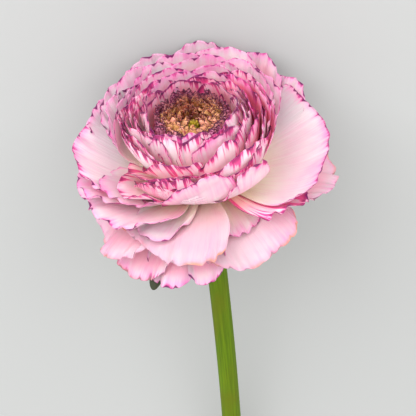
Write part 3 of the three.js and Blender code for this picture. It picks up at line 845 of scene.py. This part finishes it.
def tube_parts(centres, directions, radii, sides):
    """A closed tube of round rings, each square to its direction."""
    centres = np.asarray(centres, float)
    directions = np.asarray(directions, float)
    directions = directions / np.linalg.norm(directions, axis=1, keepdims=True)
    # Any direction that the tube doesn't follow.
    helper = [0.0, 0.0, 1.0] if abs(directions[0, 2]) < 0.9 else [1.0, 0.0, 0.0]
    side = np.cross(directions, helper)
    side /= np.linalg.norm(side, axis=1, keepdims=True)
    up = np.cross(side, directions)
    angle = np.linspace(0, 2 * math.pi, sides, endpoint=False)
    ring = np.cos(angle)[None, :, None] * side[:, None] + np.sin(angle)[None, :, None] * up[:, None]
    vertices = centres[:, None] + np.asarray(radii, float)[:, None, None] * ring
    at = np.arange(len(centres) * sides).reshape(-1, sides)
    a, b = at[:-1], np.roll(at[:-1], -1, axis=1)
    d, c = at[1:], np.roll(at[1:], -1, axis=1)
    faces = np.stack([a, b, c, d], axis=-1).reshape(-1, 4).tolist()
    faces += [at[0, ::-1].tolist(), at[-1].tolist()]
    traits = dict(
        across=np.tile(angle * STEM_RADIUS, len(centres)),
        along=np.repeat(distance_walked(centres, 0), sides),
    )
    return vertices.reshape(-1, 3), faces, traits


CONE_RADIUS, CONE_HEIGHT = 2.2, 4.6
CONE_DEPTH = 5  # how far below the eye's floor its foot is
CARPEL_LENGTH, CARPEL_RADIUS = 1.5, 0.62
STEEPEST_BEAK = 75  # how far the uppermost beaks turn up from straight outward, in degrees


def carpels(material):
    """A small cone covered with short beaks, round the bloom's axis."""
    parts = []
    foot = EYE_FLOOR - CONE_DEPTH
    upward = np.array([0, 0, 1])
    for number in range(CARPELS):
        # The higher up the cone, the more upright its beak.
        climb = (number + 0.5) / CARPELS
        azimuth = math.radians(GOLDEN_ANGLE * number)
        lean = math.radians(STEEPEST_BEAK * climb)
        outward = np.array([math.cos(azimuth), math.sin(azimuth), 0])
        heading = outward * math.cos(lean) + upward * math.sin(lean)
        start = outward * (2.1 - 1.9 * climb**1.5) + upward * (foot + 0.6 + 3.2 * climb)

        # The beak tapers, and its tip bends up a little.
        steps = np.linspace(0, 1, 7)[:, None]
        centres = start + CARPEL_LENGTH * steps * heading + 0.35 * steps**2 * upward
        radii = CARPEL_RADIUS * np.sqrt(1 - 0.99 * steps[:, 0] ** 1.6)
        headings = np.tile(heading, (len(steps), 1))
        vertices, faces, traits = tube_parts(centres, headings, radii, sides=8)
        traits["seed"] = np.full(len(vertices), number * 0.37)
        parts.append((vertices, faces, traits))

    # The core is a dome that ends in a tiny flat.
    heights = np.linspace(0, CONE_HEIGHT, 9)[:, None]
    radii = CONE_RADIUS * np.sqrt(1.001 - (heights[:, 0] / CONE_HEIGHT) ** 2)
    headings = np.tile(upward, (len(heights), 1))
    core = (foot + heights) * upward
    vertices, faces, traits = tube_parts(core, headings, radii, sides=16)
    traits["seed"] = np.zeros(len(vertices))
    traits["along"] = np.full(len(vertices), 0.1)
    parts.append((vertices, faces, traits))
    vertices, faces, traits = joined(parts)
    made = make_object("carpel_cone", leaning(vertices), faces, traits, material)
    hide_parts("carpels")


# Sepals: rows like those of the petals. The first reaches 2.4 mm farther out than in the
# solids, so that its tip shows between two petals.
SEPAL_SHAPE = dict(
    root_height=-2.6, root_angle=-16, root_pull=0.4, tip_pull=0.35, round=0.5, wrap=0,
    spoon=0.05, roll=0, ruffle=0.5, frill=0, nick_depth=0,
)
SEPALS = [
    (-116, 38.4, -14.5, -42, 4.1),
    (-45, 24, -14, -42, 3.9),
    (27, 24, -12, -42, 3.9),
    (99, 22, -9, -42, 3.9),
    (171, 24, -12, -42, 3.9),
]


def calyx(material):
    for number, row in enumerate(SEPALS, 1):
        name = f"sepal_{number}"
        seed = SEPAL_SEED + number
        add_petal(name, SEPAL_SHAPE, row, seed, above_table, material, "calyx")


# The receptacle that the petals are rooted in: its radius at heights above the roots.
RECEPTACLE = [(20, 3.2), (14, 4.2), (7, 5.6), (4, 5.8), (2, 5.6), (0, 4.9), (-1.2, 4)]
NECK_RADIUS = 3.3  # of the stem, just under the bloom
STEM_RINGS, STEM_SIDES = 160, 32
CUT_SLANT = math.radians(35)
CUT_PLACE = 3  # how far above the stem's end the cut crosses its middle
PITH_HOLE = 0.42  # share of the stem's radius
PITH_DEPTH = 7


def stem(material):
    """The stem runs down to the floor from inside the petals' receptacle, to a slanting
    cut with a hollow pith."""
    turn = np.array(TO_WORLD.to_3x3())
    down = -turn[:, 2]

    # It leaves the bloom along its axis and comes to lie along the floor.
    start = np.array(ROOTS) + 2 * down
    end = np.array([start[0] + STEM_SWING, start[1] - STEM_LENGTH, STEM_RADIUS])
    corners = (
        start,
        start + 0.5 * STEM_LENGTH * down,
        end + [-0.025 * STEM_LENGTH, 0.3 * STEM_LENGTH, 0],
        end,
    )
    path, headings = curve(corners, np.linspace(0, 1, STEM_RINGS))
    above, swelling = np.array(RECEPTACLE).T
    top = np.array(ROOTS) - above[:, None] * down
    girth = np.linspace(NECK_RADIUS, STEM_RADIUS, STEM_RINGS)

    # The last four rings: the cut's edge, the hole in it, and the hole's wall and floor.
    lip, last = path[-1], headings[-1]
    inside = np.array([0, 0, PITH_DEPTH, PITH_DEPTH])
    bore = np.array([1, PITH_HOLE, PITH_HOLE, 0.1]) * girth[-1]
    centres = np.concatenate([top, path, lip - inside[:, None] * last])
    directions = np.concatenate([np.tile(down, (len(top), 1)), headings, np.tile(last, (4, 1))])
    radii = np.concatenate([swelling, girth, bore])
    vertices, faces, traits = tube_parts(centres, directions, radii, STEM_SIDES)

    # The slanting cut: what lies past its plane is drawn back onto it, along the stem.
    face = np.array([0, math.cos(CUT_SLANT), -math.sin(CUT_SLANT)])
    past = np.minimum((vertices - end - [0, CUT_PLACE, 0]) @ face, 0) / face[1]
    vertices[:, 1] -= past
    ring = np.arange(len(vertices)) // STEM_SIDES
    traits["cut"] = (ring >= len(top) + len(path)).astype(float)
    made = make_object("stem_and_receptacle", vertices, faces, traits, material, Matrix())
    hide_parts("stem")


# ---- The set ----


FLOOR_REACH = 4.0  # in metres, from the middle to each side
FLOOR_DROP = 0.2  # keeps it from coinciding with the lowest petal's face


def floor():
    """A plain pale floor."""
    shader = Shader("floor", Roughness=0.9, Specular_IOR_Level=0.1)
    place = shader.node("TexCoord").outputs["Object"]
    shader.colour(
        shader.mix(shader.noise(place, 3.0), srgb(168, 169, 169), srgb(170, 171, 171))
    )
    mesh = bpy.data.meshes.new("floor")
    corners = [
        (FLOOR_REACH * x, FLOOR_REACH * y, 0) for x, y in ((-1, -1), (1, -1), (1, 1), (-1, 1))
    ]
    mesh.from_pydata(corners, [], [(0, 1, 2, 3)])
    mesh.materials.append(shader.material)
    made = bpy.data.objects.new("floor", mesh)
    made.location.z = -FLOOR_DROP * MM
    bpy.context.collection.objects.link(made)


def area_light(name, place, aim, size, watts):
    """A square lamp at a place, turned towards what it aims at."""
    light = bpy.data.lights.new(name, "AREA")
    light.size = size
    light.energy = watts
    made = bpy.data.objects.new(name, light)
    made.location = place
    made.rotation_euler = (Vector(aim) - Vector(place)).to_track_quat("-Z", "Y").to_euler()
    bpy.context.collection.objects.link(made)


def lights():
    """Soft daylight: a broad window at the left, a weaker lamp at the right, a pale room.
    Places are in metres from the bloom."""
    world = bpy.data.worlds.new("studio")
    world.use_nodes = True
    backdrop = world.node_tree.nodes["Background"]
    backdrop.inputs["Color"].default_value = srgb(250, 250, 248)
    backdrop.inputs["Strength"].default_value = 1.36
    bpy.context.scene.world = world
    bloom = Vector(ROOTS) * MM
    area_light("window", bloom + Vector((-0.8, 1.2, 0.85)), bloom, size=1.6, watts=27)
    area_light("fill", bloom + Vector((0.8, 1.2, 0.85)), bloom, size=1.4, watts=12)


# The camera looks down at the bloom. The place of the petals' roots in the picture, in
# pixels, and the picture's scale there set what it takes in.
PICTURE = 416
ROOTS_IN_PICTURE = (205, 178)
MM_PER_PIXEL = 0.317
CAMERA_TILT = -32  # in degrees from straight down
CAMERA_DISTANCE = 600


def camera():
    """A camera that sees the roots at their place in the picture, at the picture's scale."""
    data = bpy.data.cameras.new("camera")
    made = bpy.data.objects.new("camera", data)
    made.rotation_euler = (math.radians(CAMERA_TILT), 0, 0)
    turn = made.rotation_euler.to_matrix()
    right = (PICTURE / 2 - ROOTS_IN_PICTURE[0]) * MM_PER_PIXEL
    up = (ROOTS_IN_PICTURE[1] - PICTURE / 2) * MM_PER_PIXEL
    aim = Vector(ROOTS) + turn @ Vector((right, up, 0))
    made.location = (aim + turn @ Vector((0, 0, CAMERA_DISTANCE))) * MM
    data.sensor_width = 36
    data.lens = data.sensor_width * CAMERA_DISTANCE / (PICTURE * MM_PER_PIXEL)
    data.clip_end = 20
    bpy.context.collection.objects.link(made)
    bpy.context.scene.camera = made


petal_look = petal_material()
outer_petals(petal_look)
cup_petals(petal_look)
eye_petals(eye_material())
carpels(carpel_material())
calyx(sepal_material())
stem(stem_material())
floor()
lights()
camera()
bpy.context.scene.view_settings.view_transform = "Standard"
